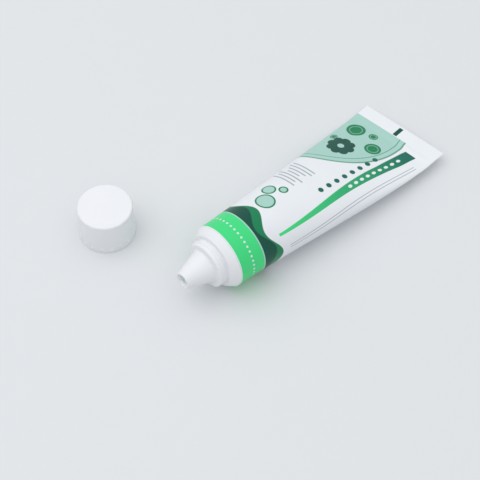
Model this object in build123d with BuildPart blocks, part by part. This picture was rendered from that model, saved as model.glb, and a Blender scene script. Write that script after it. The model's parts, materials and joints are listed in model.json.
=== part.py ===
"""A toothpaste tube lying on its side, with its screw cap standing beside it.

Frame: +X runs from the nozzle to the tail, +Z is up, and the origin is the middle of the base of the whole
part's box. The tube lies on its underside, and its tail is pressed flat.
"""
import math
import os

from build123d import *

# Driving dimensions, in millimetres and degrees.

# Sleeve: a laminate tube, round at the head and pressed flat at the tail.
tube_radius = 17.5
sleeve_wall = 0.35
collar_length = 5.0
body_length = 132.8
seal_length = 9.0
seal_thickness = 0.7
mouth_of_seal_half = 0.55
section_count = 9

# How the soft tube lies: the head tips up a little, one corner of the tail stands off the floor, and the
# belly is pressed flat where it would sag this far into the floor.
head_tilt = 3.6
head_yaw = -1.9
tail_yaw = 2.3
tail_roll = 6.2
tail_lift = 0.5
belly_press = 0.4

# Head: shoulder, threaded neck and cone nozzle in one moulding.
head_wall = 1.2
skirt_depth = 4.0
shoulder_rise = 4.5
shoulder_rim_radius = 14.6
shoulder_edge_round = 1.4
neck_root_radius = 12.4
neck_length = 5.0
cone_base_radius = 9.2
cone_length = 14.7
tip_radius = 4.5
orifice_radius = 3.0
orifice_depth = 4.0

# Thread: its crest stands out of the neck's root, and the cap clears the crest.
thread_height = 0.9
thread_clearance = 0.3

# Cap: a drafted cup with a plug that closes the orifice.
cap_wall = 1.25
cap_top_wall = 1.3
cap_draft = 0.5
cap_edge_round = 1.0
cap_position = (-28.5, 61.5)
plug_clearance = 0.1
plug_length = 2.5
plug_wall = 0.9
grip_count = 18
grip_radius = 1.0
grip_height = 2.7
grip_proud = 0.35

# Worked out from the driving dimensions.

inner_tube_radius = tube_radius - sleeve_wall
shoulder_seat = collar_length + shoulder_rise
neck_top = shoulder_seat + neck_length
tip_height = neck_top + cone_length
loft_length = body_length - seal_length
thread_crest_radius = neck_root_radius + thread_height
cap_inner_radius = thread_crest_radius + thread_clearance
cap_radius = cap_inner_radius + cap_wall
cap_inner_height = tip_height - shoulder_seat
cap_height = cap_inner_height + cap_top_wall
grip_reach = cap_radius - cap_draft * grip_height / cap_height + grip_proud


def direction(tilt, yaw):
    """Unit vector towards the nozzle, for an axis tilted up and turned in plan."""
    flat = math.cos(math.radians(tilt))
    turn = math.radians(yaw)
    return Vector(-flat * math.cos(turn), -flat * math.sin(turn), math.sin(math.radians(tilt)))


def half_width(half_height):
    """Half width of the ellipse that keeps the round tube's girth at this half height."""
    girth = 2 * tube_radius
    b = half_height
    root = math.sqrt((8 * b - 6 * girth) ** 2 - 24 * (6 * b * b - 6 * girth * b + girth * girth))
    return (6 * girth - 8 * b + root) / 12


def half_height(t):
    """Half height of the sleeve, from its collar (t = 0) to the seal (t = 1)."""
    fall_at_head = loft_length * math.tan(math.radians(head_tilt))
    whole_fall = tube_radius - mouth_of_seal_half
    return tube_radius - fall_at_head * t - (whole_fall - fall_at_head) * t * t


def section_plane(t, datum):
    """Plane across the sleeve at t, facing the nozzle, with its X across the tube."""
    b = half_height(t)
    a = half_width(b)
    roll = math.radians(tail_roll) * t * t
    lowest = math.hypot(b * math.cos(roll), a * math.sin(roll))
    start_slope = math.tan(math.radians(head_yaw))
    end_slope = math.tan(math.radians(tail_yaw))
    sideways = loft_length * (t * (1 - t) ** 2 * start_slope - t * t * (1 - t) * end_slope)
    pressed = 16 * belly_press * (t * (1 - t)) ** 2
    origin = Vector(t * loft_length, sideways, lowest + tail_lift * t ** 4 - pressed) + datum
    facing = direction(head_tilt * (1 - t), head_yaw + (tail_yaw - head_yaw) * t)
    level = Vector(0, 0, 1).cross(facing).normalized()
    return Plane(origin=origin, x_dir=level.rotate(Axis((0, 0, 0), facing), math.degrees(roll)),
                 z_dir=facing)


# The origin is the middle of the whole part's box, whose sides are met by the cap, the nozzle's tip and the
# tail's corners.
no_shift = Vector(0, 0, 0)
head_plane = section_plane(0, no_shift)
tail_plane = section_plane(1, no_shift)
seal_half_width = half_width(seal_thickness / 2)
tip_centre = head_plane.from_local_coords(Vector(0, 0, tip_height))
tip_low_x = tip_centre.X - tip_radius * math.sqrt(1 - head_plane.z_dir.X ** 2)
low_x = min(tip_low_x, cap_position[0] - grip_reach)
seal_corners = [tail_plane.from_local_coords(Vector(side * seal_half_width, up * seal_thickness / 2, -along))
                for side in (-1, 1) for up in (-1, 1) for along in (0, seal_length)]
high_x = max(corner.X for corner in seal_corners)
low_y = min(corner.Y for corner in seal_corners)
high_y = cap_position[1] + cap_radius
datum = Vector(-(low_x + high_x) / 2, -(low_y + high_y) / 2, 0)

stations = [index / (section_count - 1) for index in range(section_count)]
head_plane = section_plane(0, datum)
tail_plane = section_plane(1, datum)
head_axis = Axis(head_plane.origin, head_plane.z_dir)
# Sketches of the head's section: local X is the radius, local Y the height above the collar's back.
head_section = Plane(origin=head_plane.origin, x_dir=head_plane.x_dir, z_dir=head_plane.x_dir.cross(head_plane.z_dir))
cap_plane = Plane(origin=(cap_position[0] + datum.X, cap_position[1] + datum.Y, 0))
cap_section = Plane(origin=cap_plane.origin, x_dir=(1, 0, 0), z_dir=(0, -1, 0))
cap_axis = Axis(cap_plane.origin, (0, 0, 1))

os.makedirs("parts", exist_ok=True)

# Room inside the sleeve's body: it stops a wall's thickness above the floor.
with BuildPart() as sleeve_room:
    for t in stations:
        with BuildSketch(section_plane(t, datum)):
            Ellipse(half_width(half_height(t)) - sleeve_wall, half_height(t) - sleeve_wall)
    loft()
    split(bisect_by=Plane.XY.offset(sleeve_wall), keep=Keep.TOP)

# Sleeve: the round collar, the body that flattens towards the tail, and the flat heat seal.
with BuildPart() as sleeve:
    for t in stations:
        with BuildSketch(section_plane(t, datum)):
            Ellipse(half_width(half_height(t)), half_height(t))
    loft()
    split(bisect_by=Plane.XY, keep=Keep.TOP)
    with BuildSketch(head_plane):
        Circle(tube_radius)
    extrude(amount=collar_length)
    with BuildSketch(tail_plane):
        Rectangle(2 * seal_half_width, seal_thickness)
    extrude(amount=-seal_length)
    add(sleeve_room.part, mode=Mode.SUBTRACT)
    with BuildSketch(head_plane):
        Circle(inner_tube_radius)
    extrude(amount=collar_length, mode=Mode.SUBTRACT)
sleeve.part.label = "sleeve"
export_step(sleeve.part, "parts/sleeve.step")

# Head: the outside of the moulding, less its inside, both turned about the nozzle's axis.
skirt_foot = collar_length - skirt_depth
with BuildPart() as nozzle_head:
    with BuildSketch(head_section) as outside:
        with BuildLine():
            Polyline(
                (0, skirt_foot),
                (inner_tube_radius, skirt_foot),
                (inner_tube_radius, collar_length),
                (tube_radius, collar_length),
                (tube_radius, collar_length + shoulder_edge_round / 2),
                (shoulder_rim_radius, shoulder_seat),
                (neck_root_radius, shoulder_seat),
                (neck_root_radius, neck_top),
                (cone_base_radius, neck_top),
                (tip_radius, tip_height),
                (0, tip_height),
                close=True,
            )
        make_face()
        shoulder_edge = outside.vertices().sort_by_distance(
            head_section.from_local_coords((tube_radius, collar_length + shoulder_edge_round / 2)))[0]
        fillet(shoulder_edge, shoulder_edge_round / 2)
    revolve(axis=head_axis)
    with BuildSketch(head_section):
        with BuildLine():
            Polyline(
                (0, skirt_foot),
                (inner_tube_radius - head_wall, skirt_foot),
                (inner_tube_radius - head_wall, collar_length),
                (shoulder_rim_radius - head_wall, shoulder_seat - head_wall),
                (neck_root_radius - head_wall, shoulder_seat - head_wall),
                (neck_root_radius - head_wall, neck_top - head_wall),
                (cone_base_radius - head_wall, neck_top - head_wall),
                (orifice_radius, tip_height - orifice_depth),
                (orifice_radius, tip_height),
                (0, tip_height),
                close=True,
            )
        make_face()
    revolve(axis=head_axis, mode=Mode.SUBTRACT)
nozzle_head.part.label = "nozzle_head"
export_step(nozzle_head.part, "parts/nozzle_head.step")

# Cap: a cup standing on its mouth, with a hollow plug under its top and grip nubs near its rim.
with BuildPart() as screw_cap:
    with BuildSketch(cap_section):
        with BuildLine():
            Polyline(
                (0, 0),
                (cap_radius, 0),
                (cap_radius - cap_draft, cap_height),
                (0, cap_height),
                close=True,
            )
        make_face()
    revolve(axis=cap_axis)
    fillet(screw_cap.edges().group_by(Axis.Z)[-1], cap_edge_round)
    with Locations(cap_plane.offset(grip_height)):
        with PolarLocations(grip_reach - grip_radius, grip_count):
            Sphere(grip_radius)
    with BuildSketch(cap_section):
        with BuildLine():
            Polyline(
                (0, 0),
                (cap_inner_radius, 0),
                (cap_inner_radius - cap_draft, cap_inner_height),
                (orifice_radius - plug_clearance, cap_inner_height),
                (orifice_radius - plug_clearance, cap_inner_height - plug_length),
                (orifice_radius - plug_clearance - plug_wall, cap_inner_height - plug_length),
                (orifice_radius - plug_clearance - plug_wall, cap_inner_height),
                (0, cap_inner_height),
                close=True,
            )
        make_face()
    revolve(axis=cap_axis, mode=Mode.SUBTRACT)
screw_cap.part.label = "screw_cap"
export_step(screw_cap.part, "parts/screw_cap.step")

# Paste: it fills the sleeve and the head, up to its free face at the foot of the orifice's bore.
with BuildPart() as toothpaste:
    add(sleeve_room.part)
    with BuildSketch(head_section):
        with BuildLine():
            Polyline(
                (0, 0),
                (inner_tube_radius, 0),
                (inner_tube_radius, skirt_foot),
                (inner_tube_radius - head_wall, skirt_foot),
                (inner_tube_radius - head_wall, collar_length),
                (shoulder_rim_radius - head_wall, shoulder_seat - head_wall),
                (neck_root_radius - head_wall, shoulder_seat - head_wall),
                (neck_root_radius - head_wall, neck_top - head_wall),
                (cone_base_radius - head_wall, neck_top - head_wall),
                (orifice_radius, tip_height - orifice_depth),
                (0, tip_height - orifice_depth),
                close=True,
            )
        make_face()
    revolve(axis=head_axis)
toothpaste.part.label = "toothpaste"
export_step(toothpaste.part, "parts/toothpaste.step")

tip = head_plane.from_local_coords(Vector(0, 0, tip_height))
print("orifice centre", tip, "axis", head_plane.z_dir)
print("neck centre", head_plane.from_local_coords(Vector(0, 0, shoulder_seat + neck_length / 2)))
print("cap centre", cap_plane.origin, "height", cap_height, "inner height", cap_inner_height)
print("cap inner radius", cap_inner_radius, "paste volume", toothpaste.part.volume)
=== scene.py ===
"""A toothpaste tube lying on its side, with its screw cap standing beside it."""
import json
import math

import bpy
import numpy as np
from mathutils import Matrix, Vector

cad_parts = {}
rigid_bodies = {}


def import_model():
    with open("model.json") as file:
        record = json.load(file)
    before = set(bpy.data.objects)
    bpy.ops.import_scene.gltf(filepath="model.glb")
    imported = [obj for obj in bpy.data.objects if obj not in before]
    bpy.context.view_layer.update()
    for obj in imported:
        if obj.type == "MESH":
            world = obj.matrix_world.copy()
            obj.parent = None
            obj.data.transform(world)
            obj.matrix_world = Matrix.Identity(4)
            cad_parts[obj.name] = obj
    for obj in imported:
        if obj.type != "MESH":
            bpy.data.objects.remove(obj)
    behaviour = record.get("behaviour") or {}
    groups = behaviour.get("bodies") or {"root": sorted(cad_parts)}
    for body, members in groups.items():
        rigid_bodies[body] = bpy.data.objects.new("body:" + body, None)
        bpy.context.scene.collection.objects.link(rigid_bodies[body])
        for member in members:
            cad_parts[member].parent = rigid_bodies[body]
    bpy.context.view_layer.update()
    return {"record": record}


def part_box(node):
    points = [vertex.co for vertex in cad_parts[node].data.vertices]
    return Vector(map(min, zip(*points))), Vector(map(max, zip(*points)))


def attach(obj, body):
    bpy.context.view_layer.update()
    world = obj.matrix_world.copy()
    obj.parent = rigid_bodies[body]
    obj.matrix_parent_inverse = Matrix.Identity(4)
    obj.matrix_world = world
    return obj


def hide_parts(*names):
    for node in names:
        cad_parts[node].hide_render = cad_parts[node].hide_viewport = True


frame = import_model()
MOUNTS = {mount["name"]: mount for mount in frame["record"]["mounts"]}

bl_info = {
    "name": "Toothpaste tube",
    "version": (1, 0, 0),
    "blender": (4, 5, 0),
    "location": "3D View > Sidebar > Tube",
    "description": "Models a laminate toothpaste tube, its nozzle and its screw cap",
    "category": "Object",
}

MM = 0.001

# How close points are merged, the share of the map's height that the outer skin takes, and the skin's rows.
WELD = 0.004 * MM
OUTER_SHARE = 0.93
BODY_ROWS = 150


def shade(red, green, blue):
    """A display colour, 0 to 255, as the linear colour that Blender keeps."""
    def linear(level):
        part = level / 255
        return part / 12.92 if part <= 0.04045 else ((part + 0.055) / 1.055) ** 2.4
    return (linear(red), linear(green), linear(blue))


def length(name, description, millimetres):
    return bpy.props.FloatProperty(name=name, description=description, default=millimetres * MM,
                                   unit="LENGTH", precision=5)


def turn_of(name, description, degrees):
    return bpy.props.FloatProperty(name=name, description=description, default=math.radians(degrees),
                                   unit="ROTATION")


def colour(name, description, *levels):
    return bpy.props.FloatVectorProperty(name=name, description=description, default=shade(*levels),
                                         subtype="COLOR", size=3, min=0, max=1)


class TubeSizes(bpy.types.PropertyGroup):
    radius: length("Radius", "Outer radius of the round collar", 17.5)
    wall: length("Wall", "Thickness of the laminate", 0.35)
    collar: length("Collar", "Straight round stretch at the head", 5.0)
    body: length("Body", "Length behind the collar, seal included", 132.8)
    seal: length("Seal", "Length of the flat heat seal", 9.0)
    seal_half: length("Half seal", "Half the thickness of the seal", 0.35)
    mouth_half: length("Seal mouth", "Half height of the sleeve where the seal starts", 0.55)
    tail_lift: length("Tail lift", "How far the tail's middle is off the floor", 0.5)
    belly_press: length("Belly press", "How far the floor presses the belly flat", 0.4)
    tip: length("Tip height", "From the collar's back to the nozzle's tip", 29.2)
    shoulder_seat: length("Shoulder seat", "From the collar's back to the neck's foot", 9.5)
    shoulder_rim: length("Shoulder rim", "Radius of the shoulder's flat top", 14.6)
    neck: length("Neck", "Radius of the neck at the thread's root", 12.4)
    neck_length: length("Neck length", "From the shoulder's top to the neck's step", 5.0)
    thread: length("Thread", "How far the thread stands out of the neck", 0.9)
    thread_pitch: length("Thread pitch", "Rise of the thread in one turn", 2.6)
    cone: length("Cone foot", "Radius of the nozzle at its foot", 9.2)
    tip_radius: length("Tip radius", "Outer radius of the nozzle's mouth", 4.5)
    orifice: length("Orifice", "Radius of the nozzle's bore", 3.0)
    orifice_depth: length("Orifice depth", "Depth of the straight bore", 4.0)
    head_wall: length("Head wall", "Wall of the head moulding", 1.2)
    cap: length("Cap radius", "Outer radius of the cap's rim", 14.85)
    cap_draft: length("Cap draft", "How much narrower the cap's top is", 0.5)
    cap_height: length("Cap height", "Height of the cap", 21.0)
    cap_wall: length("Cap wall", "Wall of the cap", 1.25)
    cap_roof: length("Cap roof", "Wall of the cap's flat top", 1.3)
    cap_round: length("Cap edge", "Rounding of the cap's top edge", 1.0)
    plug_depth: length("Plug depth", "How far the cap's plug hangs from its roof", 2.5)
    plug_wall: length("Plug wall", "Wall of the cap's plug", 0.9)
    nub_height: length("Nub height", "Height of the grip nubs above the rim", 2.7)
    nub_count: bpy.props.IntProperty(name="Nubs", description="Grip nubs round the cap's rim", default=18)
    head_tilt: turn_of("Head tilt", "How far the head points up", 3.6)
    head_yaw: turn_of("Head yaw", "Turn of the head in plan", -1.9)
    tail_yaw: turn_of("Tail yaw", "Turn of the tail in plan", 2.3)
    tail_roll: turn_of("Tail roll", "Twist of the seal", 6.2)


class TubeColours(bpy.types.PropertyGroup):
    white: colour("White", "Unprinted laminate", 236, 240, 245)
    band: colour("Band", "Bright band at the head", 66, 224, 134)
    deep: colour("Deep green", "Darkest print", 0, 80, 64)
    leafy: colour("Mid green", "Middle print", 16, 130, 84)
    pale: colour("Pale green", "Field at the tail", 170, 212, 202)
    teal: colour("Teal", "Long stripe", 4, 104, 88)
    grey: colour("Grey", "Small lines", 132, 148, 156)
    moulded: colour("Moulded white", "Head and cap", 238, 240, 244)
    paste: colour("Paste", "Mint paste", 196, 236, 228)
    floor: colour("Floor", "Floor", 224, 227, 230)


# Modelling by operators.

def start_clean():
    if bpy.context.mode != "OBJECT":
        bpy.ops.object.mode_set(mode="OBJECT")
    bpy.ops.object.select_all(action="DESELECT")


def weld_mesh():
    """Merges doubles and turns faces outwards on the active object."""
    bpy.ops.object.mode_set(mode="EDIT")
    bpy.ops.mesh.select_all(action="SELECT")
    bpy.ops.mesh.remove_doubles(threshold=WELD)
    bpy.ops.mesh.normals_make_consistent(inside=False)
    bpy.ops.object.mode_set(mode="OBJECT")


def smooth(piece, degrees):
    """Smooths a piece, with edges that turn by more than this left sharp."""
    bpy.ops.object.select_all(action="DESELECT")
    bpy.context.view_layer.objects.active = piece
    piece.select_set(True)
    bpy.ops.object.shade_smooth_by_angle(angle=math.radians(degrees))


def rolled_grid(name, columns, rows, place):
    """A grid whose columns and rows are put where place(column share, row share) says, with its map."""
    start_clean()
    bpy.ops.mesh.primitive_grid_add(x_subdivisions=columns, y_subdivisions=rows, size=1)
    piece = bpy.context.active_object
    piece.name = name
    piece.data.name = name
    flat = [(corner.co.x + 0.5, corner.co.y + 0.5) for corner in piece.data.vertices]
    placed = [place(across, along) for across, along in flat]
    chart = piece.data.uv_layers.active
    chart.name = "OFBake"
    for loop in piece.data.loops:
        chart.data[loop.index].uv = placed[loop.vertex_index][1]
    for corner, (where, _) in zip(piece.data.vertices, placed):
        corner.co = where
    return piece


def rounded(outline, steps=6):
    """Outline points as (radius, height, rounding); each rounding becomes an arc between its two sides."""
    points = []
    for index, (radius, height, rounding) in enumerate(outline):
        here = Vector((radius, height))
        if not rounding:
            points.append(here)
            continue
        before = (Vector(outline[index - 1][:2]) - here).normalized()
        after = (Vector(outline[(index + 1) % len(outline)][:2]) - here).normalized()
        half = before.angle(after) / 2
        reach = rounding / math.tan(half)
        centre = here + (before + after).normalized() * rounding / math.sin(half)
        first = here + before * reach - centre
        sweep = first.angle_signed(here + after * reach - centre)
        for step in range(steps + 1):
            points.append(centre + Matrix.Rotation(-sweep * step / steps, 2) @ first)
    return points


def turned(name, outline, segments=128, closed=True):
    """A piece turned about Z: a ring is extruded and resized through every point of the outline."""
    start_clean()
    points = rounded(outline)
    first = points[0]
    bpy.ops.mesh.primitive_circle_add(vertices=segments, radius=first.x, location=(0, 0, first.y))
    piece = bpy.context.active_object
    piece.name = name
    piece.data.name = name
    bpy.ops.object.transform_apply(location=True, rotation=True, scale=True)
    bpy.ops.object.mode_set(mode="EDIT")
    bpy.ops.mesh.select_all(action="SELECT")
    for before, point in zip(points, points[1:]):
        bpy.ops.mesh.extrude_region_move(TRANSFORM_OT_translate={"value": (0, 0, point.y - before.y)})
        size = point.x / before.x
        bpy.ops.transform.resize(value=(size, size, 1), center_override=(0, 0, point.y))
    bpy.ops.mesh.select_all(action="DESELECT")
    bpy.ops.mesh.select_mode(type="EDGE")
    bpy.ops.mesh.select_non_manifold()
    if closed:
        bpy.ops.mesh.bridge_edge_loops()
    else:
        bpy.ops.mesh.fill_holes(sides=segments)
    bpy.ops.mesh.select_mode(type="VERT")
    bpy.ops.object.mode_set(mode="OBJECT")
    return piece


def merge_into(piece, other):
    """Joins a crossing solid to a piece as one skin."""
    start_clean()
    bpy.context.view_layer.objects.active = piece
    piece.select_set(True)
    union = piece.modifiers.new("Union", "BOOLEAN")
    union.operation = "UNION"
    union.solver = "EXACT"
    union.object = other
    bpy.ops.object.modifier_apply(modifier=union.name)
    bpy.data.objects.remove(other)


def thread_ridge(sizes, low, high):
    """A ridge of round section that climbs the neck as a helix and fades at its two ends."""
    turns = (high - low - 1.8 * MM) / sizes.thread_pitch
    half, sunk, fade_rate = 0.95 * MM, 0.3 * MM, 9
    start = low + half

    def place(across, along):
        angle = 2 * math.pi * turns * along
        fade = min(1, along * fade_rate, (1 - along) * fade_rate)
        around = 2 * math.pi * across
        reach = sizes.neck + sizes.thread * fade * max(0, math.cos(around)) - sunk
        lift = start + sizes.thread_pitch * turns * along + half * fade * math.sin(around)
        return (reach * math.cos(angle), reach * math.sin(angle), lift), (across, along)

    ridge = rolled_grid("thread", 16, 110, place)
    weld_mesh()
    return ridge


def hand_over(piece, node, material):
    """Puts a finished piece in the part: its finish, the body it rides on and the node it stands for."""
    piece.data.materials.clear()
    piece.data.materials.append(material)
    for face in piece.data.polygons:
        face.material_index = 0
    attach(piece, "root")
    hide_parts(node)


# The sleeve's form.

def nozzle_frame(sizes):
    """The head's matrix: Z along the nozzle, origin at the collar's back."""
    mount = MOUNTS["orifice"]
    axis = Vector(mount["axis"]).normalized()
    tip = Vector(mount["pos_m"]) + axis * mount["dims"]["length_mm"] * MM / 2
    across = Vector((0, 0, 1)).cross(axis).normalized()
    turn = Matrix((across, axis.cross(across), axis)).transposed().to_4x4()
    return Matrix.Translation(tip - axis * sizes.tip) @ turn


def half_width(sizes, half_height):
    """Half width of the ellipse that keeps the round tube's girth at this half height."""
    girth, b = 2 * sizes.radius, half_height
    root = math.sqrt((8 * b - 6 * girth) ** 2 - 24 * (6 * b * b - 6 * girth * b + girth * girth))
    return (6 * girth - 8 * b + root) / 12


def half_height(sizes, t):
    """Half height of the sleeve, from its collar (t = 0) to the seal (t = 1)."""
    loft = sizes.body - sizes.seal
    fall_at_head = loft * math.tan(sizes.head_tilt)
    whole_fall = sizes.radius - sizes.mouth_half
    return sizes.radius - fall_at_head * t - (whole_fall - fall_at_head) * t * t


def section_frame(sizes, t):
    """Origin, across, up and forward directions of the sleeve's section at t."""
    loft = sizes.body - sizes.seal
    b = half_height(sizes, t)
    a = half_width(sizes, b)
    roll = sizes.tail_roll * t * t
    lowest = math.hypot(b * math.cos(roll), a * math.sin(roll))
    sideways = loft * t * (1 - t) * ((1 - t) * math.tan(sizes.head_yaw) - t * math.tan(sizes.tail_yaw))
    back = nozzle_frame(sizes).translation
    pressed = 16 * sizes.belly_press * (t * (1 - t)) ** 2
    origin = Vector((back.x + t * loft, back.y + sideways, lowest + sizes.tail_lift * t ** 4 - pressed))
    tilt = sizes.head_tilt * (1 - t)
    yaw = sizes.head_yaw + (sizes.tail_yaw - sizes.head_yaw) * t
    forward = Vector((-math.cos(tilt) * math.cos(yaw), -math.cos(tilt) * math.sin(yaw), math.sin(tilt)))
    across = Vector((0, 0, 1)).cross(forward).normalized()
    across = Matrix.Rotation(roll, 3, forward) @ across
    return origin, across, forward.cross(across), forward


def around_section(a, b, shares):
    """Places around an ellipse at these shares of its girth, counted from its underside."""
    turn = np.linspace(0, 2 * math.pi, 1441)
    across, up = a * np.sin(turn), -b * np.cos(turn)
    run = np.concatenate(([0], np.cumsum(np.hypot(np.diff(across), np.diff(up)))))
    run /= run[-1]
    return np.interp(shares, run, across), np.interp(shares, run, up)


def sleeve_rows(sizes):
    """Rows of the sleeve's skin: up the inside from the seal, over the front lip, down the outside.
    Each is (distance from the front edge, how far under the outer skin, half height or None)."""
    whole = sizes.collar + sizes.body
    seal_start = whole - sizes.seal
    body = seal_start - sizes.collar
    swept = [sizes.collar + body * math.sin(math.pi / 2 * step / BODY_ROWS) for step in range(1, BODY_ROWS)]
    rows = [(seal_start, sizes.wall, 0.0), (seal_start, sizes.wall, sizes.mouth_half - sizes.wall)]
    rows += [(v, sizes.wall, None) for v in reversed(swept[::2])]
    rows += [(sizes.collar, sizes.wall, None), (0, sizes.wall, None)]
    soft = 0.12 * MM
    rows += [(0, soft, None), (soft, 0, None)]
    rows += [(sizes.collar * step / 6, 0, None) for step in range(1, 7)]
    rows += [(v, 0, None) for v in swept]
    rows += [(seal_start + 0.5 * MM, 0, sizes.mouth_half - 0.08 * MM)]
    rows += [(seal_start + 1.2 * MM + (sizes.seal - 1.3 * MM) * step / 20, 0, sizes.seal_half)
             for step in range(21)]
    rows += [(whole, 0, sizes.seal_half * 0.7), (whole, 0, 0.0)]
    return rows


def hump(place, middle, half):
    """1 in the middle, falling off smoothly on both sides."""
    return math.exp(-((place - middle) / half) ** 2)


def skin_relief(sizes, u, v):
    """How far the handled skin dips or stands, with u across and v along, in millimetres."""
    seal_start = (sizes.collar + sizes.body - sizes.seal) / MM
    near = seal_start - v

    # A raised lip along the seal, stronger at one side, and a trough behind it.
    lip = 0.30 * hump(near, 0.9, 0.8) * (0.55 - 0.45 * math.tanh(u / 12))
    trough = -0.34 * hump(near, 4.2, 2.2)

    # Two creases that run in from the seal's corners.
    crease, crease_length = 0, 34
    for side in (-1, 1):
        line = side * (25 - near * 0.52)
        if 0 < near < crease_length:
            crease -= 0.42 * hump(u, line, 2.4) * math.sin(math.pi * near / crease_length)

    # Slack waves that grow away from the head.
    slack = min(1, max(0, (v - 30) / 50)) * max(0, min(1, near / 6))
    wave = -0.16 * slack * (1 + math.sin(v / 9.5 + u / 13) * math.cos(u / 8.5 - v / 31))
    return lip + trough + crease + wave


def skin_points(sizes, v, depth, thin, shares):
    """One ring of the sleeve's skin, this far under the outer one and this far behind the front edge."""
    loft = sizes.body - sizes.seal
    girth = 2 * math.pi * sizes.radius / MM
    t = min(1.0, max(0.0, (v - sizes.collar) / loft))
    origin, across, up, forward = section_frame(sizes, t)
    origin = origin - forward * (v - sizes.collar - t * loft)
    full = half_height(sizes, t) if thin is None else thin
    wide = half_width(sizes, max(full, sizes.seal_half))
    xs, ys = around_section(wide - depth, full - depth if thin is None else full, shares)
    points = []
    for share, x, y in zip(shares, xs, ys):
        u = (share - 0.5) * girth
        lift = 0.0
        if thin is None and abs(u) < girth / 4 and t > 0:
            edge = max(0.0, math.cos(2 * math.pi * u / girth))
            lift = max(skin_relief(sizes, u, v / MM) * MM * min(1, edge * 2.5), -0.35 * full)
        where = origin + across * x + up * (y + lift)
        where.z = max(where.z, depth)
        points.append(where)
    return points


def stacked(name, columns, rings, chart_heights):
    """A skin whose rows are these rings of points."""
    last = len(rings) - 1

    def place(across, along):
        index = round(along * last)
        return rings[index][round(across * columns)], (across, chart_heights[index])

    piece = rolled_grid(name, columns, last, place)
    weld_mesh()
    smooth(piece, 32)
    return piece


def make_sleeve(sizes):
    columns = 176
    shares = np.arange(columns + 1) / columns
    rows = sleeve_rows(sizes)
    whole = sizes.collar + sizes.body
    first_outer = next(index for index, row in enumerate(rows) if row[1] < sizes.wall)
    heights = [OUTER_SHARE * row[0] / whole if index >= first_outer
               else 1 - (1 - OUTER_SHARE - 0.01) * index / first_outer
               for index, row in enumerate(rows)]
    return stacked("tube_sleeve", columns, [skin_points(sizes, *row, shares) for row in rows], heights)


def make_paste(sizes):
    """The paste: it fills the sleeve and the head, up to a low dome at the foot of the bore."""
    columns = 88
    shares = np.arange(columns + 1) / columns
    rings = [skin_points(sizes, v, depth + 0.03 * MM, thin, shares) for v, depth, thin in sleeve_rows(sizes)
             if depth >= sizes.wall and v > 0]
    inner = sizes.radius - sizes.wall
    step = sizes.shoulder_seat + sizes.neck_length
    foot, wall, gap = sizes.tip - sizes.orifice_depth, sizes.head_wall, 0.03 * MM
    profile = [
        (inner, -2 * gap), (inner, 1.0 * MM - 2 * gap), (inner - wall, 1.0 * MM - 2 * gap),
        (inner - wall, sizes.collar), (sizes.shoulder_rim - wall, sizes.shoulder_seat - wall - gap),
        (sizes.neck - wall, sizes.shoulder_seat - wall - gap), (sizes.neck - wall, step - wall - gap),
        (sizes.cone - wall, step - wall - gap), (sizes.orifice, foot), (sizes.orifice * 0.8, foot + 0.3 * MM),
        (sizes.orifice * 0.4, foot + 0.5 * MM), (gap, foot + 0.55 * MM),
    ]
    origin, across, up, forward = section_frame(sizes, 0)
    for radius, along in profile:
        centre = origin + forward * (along - 5 * gap)
        rings.append([centre + (across * math.sin(turn) - up * math.cos(turn)) * (radius - gap * 0.9)
                      for turn in 2 * math.pi * shares])
    return stacked("paste_fill", columns, rings, list(np.linspace(0, 1, len(rings))))


# Head and cap.

def make_head(sizes):
    """The head moulding: skirt, shoulder, threaded neck and cone nozzle."""
    inner = sizes.radius - sizes.wall
    seat, wall = sizes.shoulder_seat, sizes.head_wall
    step = seat + sizes.neck_length
    outline = [
        (inner - wall, 1.0 * MM, 0),
        (inner - 0.02 * MM, 1.0 * MM, 0.2 * MM),
        (inner - 0.02 * MM, sizes.collar, 0),
        (sizes.radius - 0.1 * MM, sizes.collar, 0.15 * MM),
        (sizes.radius - 0.1 * MM, sizes.collar + 0.5 * MM, 0.4 * MM),
        (sizes.shoulder_rim, seat, 1.1 * MM),
        (sizes.neck, seat, 0.35 * MM),
        (sizes.neck, step, 1.0 * MM),
        (sizes.cone, step, 1.1 * MM),
        (sizes.tip_radius, sizes.tip, 0.4 * MM),
        (sizes.orifice + 0.75 * MM, sizes.tip, 0.2 * MM),
        (sizes.orifice, sizes.tip - 1.3 * MM, 0.4 * MM),
        (sizes.orifice, sizes.tip - sizes.orifice_depth, 0),
        (sizes.cone - wall, step - wall, 0.8 * MM),
        (sizes.neck - wall, step - wall, 0.6 * MM),
        (sizes.neck - wall, seat - wall, 0.3 * MM),
        (sizes.shoulder_rim - wall, seat - wall, 0.8 * MM),
        (inner - wall, sizes.collar, 0),
    ]
    head = turned("tube_head", outline)
    weld_mesh()
    smooth(head, 40)
    merge_into(head, thread_ridge(sizes, seat + 0.5 * MM, step - 0.2 * MM))
    head.data.transform(nozzle_frame(sizes))
    smooth(head, 40)
    return head


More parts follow.
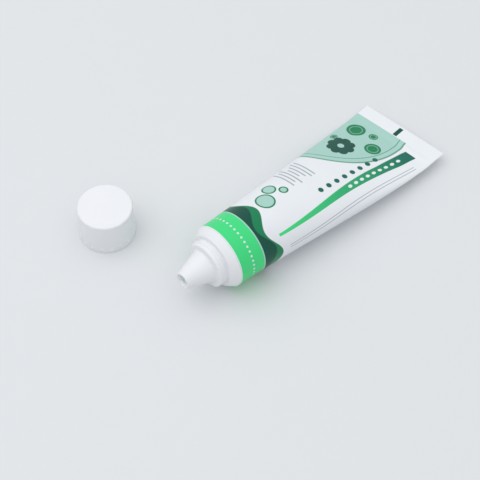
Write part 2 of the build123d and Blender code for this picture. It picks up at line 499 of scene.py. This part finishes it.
def make_cap(sizes):
    """The screw cap: a drafted wall, a flat top, a ring plug under it and grip nubs round the rim."""
    rim, top = sizes.cap, sizes.cap - sizes.cap_draft
    roof = sizes.cap_height - sizes.cap_roof
    plug = sizes.orifice - 0.1 * MM
    plug_end = roof - sizes.plug_depth
    outline = [
        (0.4 * MM, sizes.cap_height, 0),
        (top * 0.6, sizes.cap_height, 0),
        (top, sizes.cap_height, sizes.cap_round),
        (rim, 0, 0.25 * MM),
        (rim - sizes.cap_wall, 0, 0.25 * MM),
        (top - sizes.cap_wall, roof, 0.5 * MM),
        (plug, roof, 0.25 * MM),
        (plug, plug_end, 0.3 * MM),
        (plug - sizes.plug_wall, plug_end, 0.2 * MM),
        (plug - sizes.plug_wall, roof, 0),
        (0.4 * MM, roof, 0),
    ]
    cap = turned("cap", outline, closed=False)
    weld_mesh()
    smooth(cap, 40)
    wall_here = rim - sizes.cap_draft * sizes.nub_height / sizes.cap_height
    start_clean()
    for index in range(sizes.nub_count):
        angle = 2 * math.pi * index / sizes.nub_count
        start = Vector((math.cos(angle), math.sin(angle), 0)) * (wall_here - 0.1 * MM)
        bpy.ops.mesh.primitive_uv_sphere_add(segments=20, ring_count=12, radius=1,
                                             location=start + Vector((0, 0, sizes.nub_height)),
                                             rotation=(0, 0, angle))
        bpy.ops.transform.resize(value=(0.4 * MM, 1.25 * MM, 0.85 * MM), orient_type="LOCAL")
    bpy.ops.object.select_all(action="DESELECT")
    nubs = [piece for piece in bpy.data.objects if piece.name.startswith("Sphere")]
    for nub in nubs:
        nub.select_set(True)
    bpy.context.view_layer.objects.active = nubs[0]
    bpy.ops.object.join()
    bpy.ops.object.transform_apply(location=True, rotation=True, scale=True)
    merge_into(cap, nubs[0])
    stand = MOUNTS["cap_top"]["pos_m"]
    cap.data.transform(Matrix.Translation((stand[0], stand[1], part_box("screw_cap")[0].z)))
    smooth(cap, 35)
    return cap


# Materials.

class Nodes:
    """Adds nodes to one tree in the order in which they are used."""

    def __init__(self, tree):
        self.tree = tree

    def add(self, kind, values=(), **settings):
        node = self.tree.nodes.new(kind)
        for key, value in settings.items():
            setattr(node, key, value)
        for socket, value in zip(node.inputs, values):
            self.put(socket, value)
        return node

    def put(self, socket, value):
        if isinstance(value, bpy.types.NodeSocket):
            self.tree.links.new(value, socket)
        elif value is not None:
            socket.default_value = value

    def maths(self, operation, *values):
        return self.add("ShaderNodeMath", values, operation=operation).outputs[0]

    def both(self, first, second):
        return self.maths("MULTIPLY", first, second)

    def away(self, value, middle):
        """The distance between a value and a middle."""
        return self.maths("ABSOLUTE", self.maths("SUBTRACT", value, middle))

    def fall(self, value, edge, soft):
        """1 below the edge and 0 above it, with a soft step between."""
        spread = self.add("ShaderNodeMapRange", (value, edge - soft, edge + soft, 1.0, 0.0))
        return spread.outputs[0]

    def mix(self, factor, under, over):
        node = self.add("ShaderNodeMix", data_type="RGBA")
        for index, value in ((0, factor), (6, under), (7, over)):
            self.put(node.inputs[index], value)
        return node.outputs[2]

    def paint(self, sheet, mask, ink, strength=1.0):
        """Lays an ink over the sheet where the mask is."""
        if strength < 1:
            mask = self.both(mask, strength)
        return self.mix(mask, sheet, opaque(ink))

    def reach(self, point, centre, radii):
        """How far a point is from a motif's centre, in shares of its radii."""
        mapping = self.add("ShaderNodeMapping", vector_type="TEXTURE")
        self.put(mapping.inputs["Vector"], point)
        mapping.inputs["Location"].default_value = (*centre, 0)
        mapping.inputs["Scale"].default_value = (*radii, 1)
        return self.add("ShaderNodeVectorMath", (mapping.outputs[0],), operation="LENGTH").outputs["Value"]

    def disc(self, point, centre, radius, soft=0.12):
        """A filled disc or ellipse."""
        radii = radius if isinstance(radius, tuple) else (radius, radius)
        return self.fall(self.reach(point, centre, radii), 1.0, soft / min(radii))

    def ring(self, point, centre, radius, width, soft=0.1):
        """A circle's line."""
        off = self.away(self.reach(point, centre, (radius, radius)), 1.0)
        return self.fall(off, width / 2 / radius, soft / radius)

    def between(self, value, low, high, soft=0.1):
        """1 while the value is between the two edges."""
        return self.fall(self.away(value, (low + high) / 2), (high - low) / 2, soft)

    def repeated(self, value, pitch, middle):
        """The value counted from the middle of each repeat."""
        half = pitch / 2
        return self.maths("SUBTRACT", self.maths("WRAP", value, middle + half, middle - half), middle)

    def flat(self, across, along):
        return self.add("ShaderNodeCombineXYZ", (across, along, 0.0)).outputs[0]


def opaque(rgb):
    return (rgb[0], rgb[1], rgb[2], 1.0)


def surface_group():
    """Fine grain and faint handling marks, shared by every finish of the tube."""
    found = bpy.data.node_groups.get("surface_finish")
    if found:
        return found
    group = bpy.data.node_groups.new("surface_finish", "ShaderNodeTree")
    for name, kind, start in (("Colour", "NodeSocketColor", (1, 1, 1, 1)),
                              ("Roughness", "NodeSocketFloat", 0.4),
                              ("Grain Scale", "NodeSocketFloat", 2500.0), ("Marks", "NodeSocketFloat", 0.05)):
        socket = group.interface.new_socket(name, in_out="INPUT", socket_type=kind)
        socket.default_value = start
    for name, kind in (("Colour", "NodeSocketColor"), ("Roughness", "NodeSocketFloat"),
                       ("Height", "NodeSocketFloat")):
        group.interface.new_socket(name, in_out="OUTPUT", socket_type=kind)
    nodes = Nodes(group)
    given = nodes.add("NodeGroupInput")
    place = nodes.add("ShaderNodeTexCoord").outputs["Object"]
    grain = nodes.add("ShaderNodeTexNoise")
    nodes.put(grain.inputs["Vector"], place)
    nodes.put(grain.inputs["Scale"], given.outputs["Grain Scale"])
    grain.inputs["Detail"].default_value = 3
    marks = nodes.add("ShaderNodeTexNoise")
    nodes.put(marks.inputs["Vector"], place)
    marks.inputs["Scale"].default_value = 70
    marks.inputs["Detail"].default_value = 4
    centred = nodes.maths("SUBTRACT", marks.outputs["Fac"], 0.5)
    amount = nodes.maths("MULTIPLY", centred, given.outputs["Marks"])
    darker = nodes.maths("MULTIPLY_ADD", amount, 1.0, 1.0)
    tinted = nodes.add("ShaderNodeVectorMath", operation="SCALE")
    nodes.put(tinted.inputs[0], given.outputs["Colour"])
    nodes.put(tinted.inputs["Scale"], darker)
    rough = nodes.maths("MULTIPLY_ADD", amount, 2.5, given.outputs["Roughness"])
    result = nodes.add("NodeGroupOutput")
    nodes.put(result.inputs["Colour"], tinted.outputs[0])
    nodes.put(result.inputs["Roughness"], rough)
    nodes.put(result.inputs["Height"], grain.outputs["Fac"])
    return group


def finish_material(name, painted, roughness, grain, marks, bump, extra_height=None):
    """A plastic finish: painted(nodes) gives the colour, and the shared group its grain and marks."""
    material = bpy.data.materials.new(name)
    material.use_nodes = True
    tree = material.node_tree
    shader = tree.nodes["Principled BSDF"]
    nodes = Nodes(tree)
    base = painted(nodes) if callable(painted) else opaque(painted)
    finish = nodes.add("ShaderNodeGroup", node_tree=surface_group())
    nodes.put(finish.inputs["Colour"], base)
    finish.inputs["Roughness"].default_value = roughness
    finish.inputs["Grain Scale"].default_value = grain
    finish.inputs["Marks"].default_value = marks
    height = finish.outputs["Height"]
    if extra_height:
        height = nodes.maths("ADD", height, extra_height(nodes))
    bumped = nodes.add("ShaderNodeBump")
    bumped.inputs["Strength"].default_value = bump
    bumped.inputs["Distance"].default_value = 0.1 * MM
    nodes.put(bumped.inputs["Height"], height)
    tree.links.new(finish.outputs["Colour"], shader.inputs["Base Color"])
    tree.links.new(finish.outputs["Roughness"], shader.inputs["Roughness"])
    tree.links.new(bumped.outputs["Normal"], shader.inputs["Normal"])
    shader.inputs["IOR"].default_value = 1.46
    shader.inputs["Specular IOR Level"].default_value = 0.35
    return material


def sheet_point(nodes, sizes):
    """The place on the unrolled sheet in millimetres: across from the top line, along from its front edge."""
    girth = 2 * math.pi * sizes.radius / MM
    whole = (sizes.collar + sizes.body) / MM
    chart = nodes.add("ShaderNodeUVMap", uv_map="OFBake")
    mapping = nodes.add("ShaderNodeMapping", (chart.outputs[0],), vector_type="POINT")
    mapping.inputs["Location"].default_value = (-girth / 2, -1.0, 0)
    mapping.inputs["Scale"].default_value = (girth, whole / OUTER_SHARE, 1)
    return mapping.outputs[0]


def pale_field(nodes, sheet, point, inks):
    """A wide round sweep from the fold, with two lines along its edge."""
    centre = (33, 117)
    sheet = nodes.paint(sheet, nodes.disc(point, centre, 42), inks.pale)
    for radius, width in ((42, 1.0), (38.5, 0.5)):
        sheet = nodes.paint(sheet, nodes.ring(point, centre, radius, width), inks.leafy, 0.75)
    return sheet


def blossom(nodes, sheet, point, inks):
    """Eight round petals round a pale heart."""
    heart, spread, petals = (13, 99), 5.4, 8
    for petal in range(petals):
        angle = 2 * math.pi * petal / petals + 0.2
        centre = (heart[0] + spread * math.sin(angle), heart[1] + spread * math.cos(angle))
        sheet = nodes.paint(sheet, nodes.disc(point, centre, 2.7), inks.deep)
    for radius, ink in ((4.2, inks.deep), (1.9, inks.pale)):
        sheet = nodes.paint(sheet, nodes.disc(point, heart, radius), ink)
    return sheet


def bubbles(nodes, sheet, point, inks):
    """Filled discs with a pale glint."""
    for centre, radius in (((0.5, 111), 4.6), ((18, 117), 5.4), ((7.5, 119.5), 2.6), ((22, 103), 2.2)):
        sheet = nodes.paint(sheet, nodes.disc(point, centre, radius), inks.leafy)
        sheet = nodes.paint(sheet, nodes.ring(point, centre, radius * 0.66, 0.5), inks.pale, 0.55)
    return sheet


def long_stripe(nodes, sheet, u, v, inks):
    """A stripe that widens and darkens towards the tail, with two thin lines beside it and beads on it."""
    swell = nodes.both(nodes.maths("SINE", nodes.both(v, 0.055)), 1.6)
    across = nodes.maths("ADD", nodes.maths("ADD", u, 14.5), swell)
    share = nodes.add("ShaderNodeMapRange", (v, 24.0, 122.0, 0.0, 1.0)).outputs[0]
    half = nodes.maths("MULTIPLY_ADD", share, 2.9, 0.7)
    past_edge = nodes.maths("SUBTRACT", nodes.maths("ABSOLUTE", across), half)
    stripe = nodes.both(nodes.fall(past_edge, 0.0, 0.12), nodes.between(v, 26, 124, 0.15))
    sheet = nodes.mix(stripe, sheet, nodes.mix(share, opaque(inks.band), opaque(inks.teal)))
    for shift in (-8.0, -9.6):
        near = nodes.between(across, shift - 0.22, shift + 0.22, 0.12)
        line = nodes.both(near, nodes.between(v, 30, 118, 0.15))
        sheet = nodes.paint(sheet, line, inks.grey, 0.7)
    bead = nodes.disc(nodes.flat(across, nodes.repeated(v, 4.5, 2.25)), (0, 0), (0.9, 1.3))
    return nodes.paint(sheet, nodes.both(bead, nodes.between(v, 76.5, 117, 0.15)), inks.white)


def dot_row(nodes, sheet, u, v, inks):
    """Round dots above the stripe, one each six millimetres."""
    dot = nodes.disc(nodes.flat(nodes.maths("ADD", u, 6.6), nodes.repeated(v, 6, 57)), (0, 0), 1.5)
    return nodes.paint(sheet, nodes.both(dot, nodes.between(v, 60, 108, 0.15)), inks.teal)


def ring_chain(nodes, sheet, point, inks):
    """Three rings between the waves and the small lines."""
    for centre, radius in (((4, 33), 5.0), ((10, 41), 3.6), ((4.5, 46.5), 2.2)):
        sheet = nodes.paint(sheet, nodes.disc(point, centre, radius), inks.pale)
        sheet = nodes.paint(sheet, nodes.ring(point, centre, radius, 0.9), inks.leafy)
    return sheet


def small_lines(nodes, sheet, u, v, inks):
    """Short lines of uneven lengths: a block on the front and a wide one on the back."""
    lines = nodes.maths("DIVIDE", v, 2.6)
    seed = nodes.maths("SINE", nodes.both(nodes.maths("FLOOR", lines), 3.7))
    ragged = nodes.maths("FRACT", nodes.both(seed, 7.3))
    step = nodes.away(nodes.maths("FRACT", lines), 0.5)

    past_end = nodes.maths("SUBTRACT", nodes.away(u, 12.0), nodes.maths("MULTIPLY_ADD", ragged, 5.0, 4.5))
    line = nodes.both(nodes.fall(step, 0.17, 0.05), nodes.fall(past_end, 0.0, 0.15))
    sheet = nodes.paint(sheet, nodes.both(line, nodes.between(v, 52, 70.2, 0.1)), inks.grey, 0.75)

    from_back = nodes.maths("SUBTRACT", 36.0, nodes.maths("ABSOLUTE", u))
    past_end = nodes.maths("MULTIPLY_ADD", ragged, 6.0, from_back)
    line = nodes.both(nodes.fall(step, 0.15, 0.05), nodes.fall(past_end, 0.0, 0.15))
    return nodes.paint(sheet, nodes.both(line, nodes.between(v, 39, 109.2, 0.1)), inks.grey, 0.6)


def head_band(nodes, sheet, u, v, sizes, inks):
    """Waves all round the tube in four swells, and before them the bright band with its row of pale spots."""
    turn = 4 / (sizes.radius / MM)
    for base, phase, ink in ((22.5, 1.1, inks.leafy), (19.0, 0.2, inks.deep)):
        wave = nodes.maths("SINE", nodes.maths("MULTIPLY_ADD", u, turn, phase))
        edge = nodes.maths("SUBTRACT", v, nodes.both(wave, 3.0))
        sheet = nodes.paint(sheet, nodes.fall(edge, base, 0.12), ink)
    for edge, ink in ((14.7, inks.deep), (14.2, inks.pale), (13.5, inks.band), (-0.5, inks.white)):
        sheet = nodes.paint(sheet, nodes.fall(v, edge, 0.06), ink)
    place = nodes.flat(nodes.repeated(u, 2.75, 1.375), nodes.maths("SUBTRACT", v, 7.0))
    return nodes.paint(sheet, nodes.disc(place, (0, 0), 0.62), inks.white, 0.8)


def bare_seal(nodes, sheet, u, v, sizes, inks):
    """The unprinted seal, with one dark register mark."""
    seal_start = (sizes.collar + sizes.body - sizes.seal) / MM
    sheet = nodes.mix(nodes.fall(v, seal_start + 0.2, 0.1), opaque(inks.white), sheet)
    mark = nodes.both(nodes.between(u, -0.3, 2.3, 0.06), nodes.between(v, 129.4, 135.6, 0.06))
    return nodes.paint(sheet, mark, inks.deep)


def print_design(sizes, inks):
    """The printed sheet. All its measures are millimetres on the unrolled sheet."""
    def painted(nodes):
        point = sheet_point(nodes, sizes)
        u, v = nodes.add("ShaderNodeSeparateXYZ", (point,)).outputs[:2]
        sheet = opaque(inks.white)
        for motif in (pale_field, blossom, bubbles):
            sheet = motif(nodes, sheet, point, inks)
        for motif in (long_stripe, dot_row):
            sheet = motif(nodes, sheet, u, v, inks)
        sheet = ring_chain(nodes, sheet, point, inks)
        sheet = small_lines(nodes, sheet, u, v, inks)
        sheet = head_band(nodes, sheet, u, v, sizes, inks)
        return bare_seal(nodes, sheet, u, v, sizes, inks)
    return painted


def seal_ribs(sizes):
    """Fine pressed lines across the seal."""
    rib_pitch, plain_end = 1.1, 2.5

    def height(nodes):
        along = nodes.add("ShaderNodeSeparateXYZ", (sheet_point(nodes, sizes),)).outputs["Y"]
        wave = nodes.maths("SINE", nodes.both(along, 2 * math.pi / rib_pitch))
        whole = (sizes.collar + sizes.body) / MM
        inside = nodes.between(along, whole - sizes.seal / MM, whole - plain_end, 0.3)
        return nodes.both(nodes.both(wave, inside), 1.2)
    return height


# Operators.

class AddSleeve(bpy.types.Operator):
    """Adds the printed laminate sleeve"""
    bl_idname = "tube.add_sleeve"
    bl_label = "Add sleeve"

    def execute(self, context):
        sizes, inks = context.scene.tube_sizes, context.scene.tube_colours
        material = finish_material("printed_laminate", print_design(sizes, inks), roughness=0.34, grain=900,
                                   marks=0.05, bump=0.10, extra_height=seal_ribs(sizes))
        hand_over(make_sleeve(sizes), "sleeve", material)
        return {"FINISHED"}


class AddHead(bpy.types.Operator):
    """Adds the moulded head with its thread and nozzle"""
    bl_idname = "tube.add_head"
    bl_label = "Add head"

    def execute(self, context):
        sizes, inks = context.scene.tube_sizes, context.scene.tube_colours
        material = finish_material("head_plastic", inks.moulded, roughness=0.36, grain=1800,
                                   marks=0.05, bump=0.08)
        hand_over(make_head(sizes), "nozzle_head", material)
        return {"FINISHED"}


class AddCap(bpy.types.Operator):
    """Adds the screw cap with its grip nubs"""
    bl_idname = "tube.add_cap"
    bl_label = "Add cap"

    def execute(self, context):
        sizes, inks = context.scene.tube_sizes, context.scene.tube_colours
        material = finish_material("cap_plastic", inks.moulded, roughness=0.42, grain=1500,
                                   marks=0.05, bump=0.10)
        hand_over(make_cap(sizes), "screw_cap", material)
        return {"FINISHED"}


class AddPaste(bpy.types.Operator):
    """Adds the paste that fills the tube"""
    bl_idname = "tube.add_paste"
    bl_label = "Add paste"

    def execute(self, context):
        sizes, inks = context.scene.tube_sizes, context.scene.tube_colours
        material = finish_material("mint_paste", inks.paste, roughness=0.24, grain=500, marks=0.08, bump=0.3)
        hand_over(make_paste(sizes), "toothpaste", material)
        return {"FINISHED"}


class AddStage(bpy.types.Operator):
    """Adds the floor, the studio light and the camera"""
    bl_idname = "tube.add_stage"
    bl_label = "Add stage"

    def execute(self, context):
        scene, inks = context.scene, context.scene.tube_colours
        start_clean()
        bpy.ops.mesh.primitive_grid_add(x_subdivisions=4, y_subdivisions=4, size=8,
                                        location=(0, 0, -0.02 * MM))
        floor = bpy.context.active_object
        floor.name = "floor"
        floor.data.materials.append(finish_material("floor_paper", inks.floor, roughness=0.6, grain=300,
                                                    marks=0.012, bump=0.0))

        world = scene.world or bpy.data.worlds.new("World")
        scene.world = world
        world.use_nodes = True
        nodes = Nodes(world.node_tree)
        background = world.node_tree.nodes["Background"]
        rays = nodes.add("ShaderNodeLightPath")
        seen = nodes.maths("MAXIMUM", rays.outputs["Is Camera Ray"], rays.outputs["Is Glossy Ray"])
        direction = nodes.add("ShaderNodeTexCoord").outputs["Generated"]
        height = nodes.add("ShaderNodeSeparateXYZ", (direction,)).outputs["Z"]
        walls, ceiling = (0.3, 0.3, 0.305), (1.15, 1.155, 1.16)
        room = nodes.mix(height, opaque(walls), opaque(ceiling))
        sky = nodes.mix(seen, room, opaque(inks.floor))
        nodes.put(background.inputs["Color"], sky)

        aim, lamp_distance = Vector((0, 0, 0.01)), 1.5
        side = Vector((-0.62, 0.55, 1.5)).normalized()
        bpy.ops.object.light_add(type="AREA", location=aim + side * lamp_distance)
        key = bpy.context.active_object
        key.name = "key_light"
        key.rotation_mode = "QUATERNION"
        key.rotation_quaternion = side.to_track_quat("Z", "Y")
        key.data.shape = "SQUARE"
        key.data.size = 1.3
        key.data.energy = 4.5

        azimuth, elevation, distance = math.radians(-42.94), math.radians(55.23), 0.78414
        look = Vector((-0.02714, -0.01505, 0))
        back = Vector((math.sin(azimuth) * math.cos(elevation), -math.cos(azimuth) * math.cos(elevation),
                       math.sin(elevation)))
        bpy.ops.object.camera_add(location=look + back * distance)
        camera = bpy.context.active_object
        camera.name = "camera"
        camera.rotation_mode = "QUATERNION"
        camera.rotation_quaternion = (-back).to_track_quat("-Z", "Y")
        camera.data.lens = 112.5
        camera.data.sensor_width = 36
        camera.data.clip_start = 0.01
        scene.camera = camera
        scene.view_settings.view_transform = "Standard"
        return {"FINISHED"}


class TubePanel(bpy.types.Panel):
    """Lists the tube's operators and its main sizes"""
    bl_idname = "VIEW3D_PT_tube"
    bl_label = "Toothpaste tube"
    bl_space_type = "VIEW_3D"
    bl_region_type = "UI"
    bl_category = "Tube"

    def draw(self, context):
        for maker in MAKERS:
            self.layout.operator(maker.bl_idname)
        for group in (context.scene.tube_sizes, context.scene.tube_colours):
            column = self.layout.column()
            for name in group.bl_rna.properties.keys():
                if name not in ("rna_type", "name"):
                    column.prop(group, name)


MAKERS = (AddSleeve, AddHead, AddCap, AddPaste, AddStage)
CLASSES = (TubeSizes, TubeColours, *MAKERS, TubePanel)


def register():
    for cls in CLASSES:
        bpy.utils.register_class(cls)
    bpy.types.Scene.tube_sizes = bpy.props.PointerProperty(type=TubeSizes)
    bpy.types.Scene.tube_colours = bpy.props.PointerProperty(type=TubeColours)


def unregister():
    del bpy.types.Scene.tube_colours
    del bpy.types.Scene.tube_sizes
    for cls in reversed(CLASSES):
        bpy.utils.unregister_class(cls)


def main():
    register()
    bpy.ops.tube.add_sleeve()
    bpy.ops.tube.add_head()
    bpy.ops.tube.add_cap()
    bpy.ops.tube.add_paste()
    bpy.ops.tube.add_stage()


if __name__ == "__main__":
    main()
